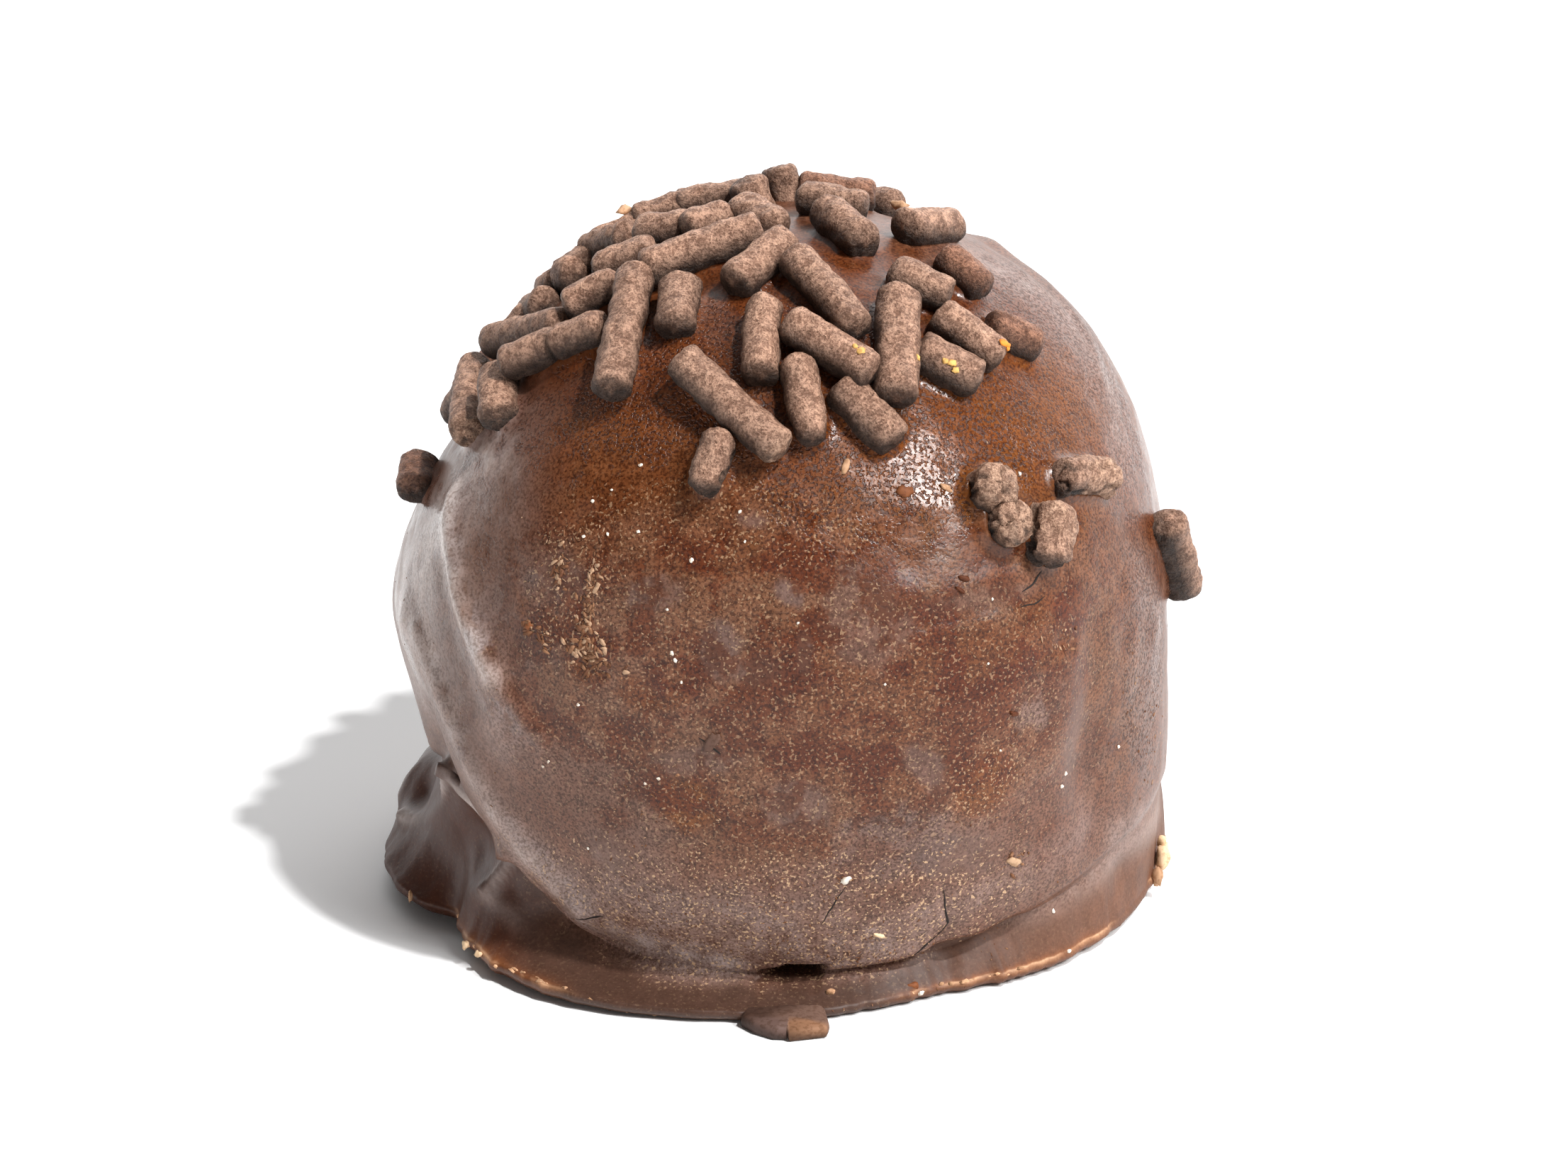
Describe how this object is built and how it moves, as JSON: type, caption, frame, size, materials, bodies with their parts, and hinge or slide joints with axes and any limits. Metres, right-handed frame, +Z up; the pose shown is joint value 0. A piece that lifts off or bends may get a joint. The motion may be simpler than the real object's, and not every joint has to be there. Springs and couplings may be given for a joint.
{
  "type": "chocolate cake ball",
  "caption": "Round cake ball dipped in chocolate, standing in a ragged foot of set chocolate, its top strewn with chocolate sprinkles.",
  "frame": {"origin": "centre of the footprint, on the surface the ball stands on", "axes": "+Z up, -Y towards the front, the side with the chip in its foot, +X to the right seen from the front"},
  "size_m": [0.037, 0.0376, 0.0318],
  "materials": {
    "coat": "set milk chocolate, satin with a dusty grey bloom and fine pits",
    "sprinkle": "dull dusty brown chocolate sprinkles",
    "broken": "pale tan where the chocolate has chipped"
  },
  "bodies": {
    "root": {"cake_ball": "coat"}
  },
  "joints": []
}
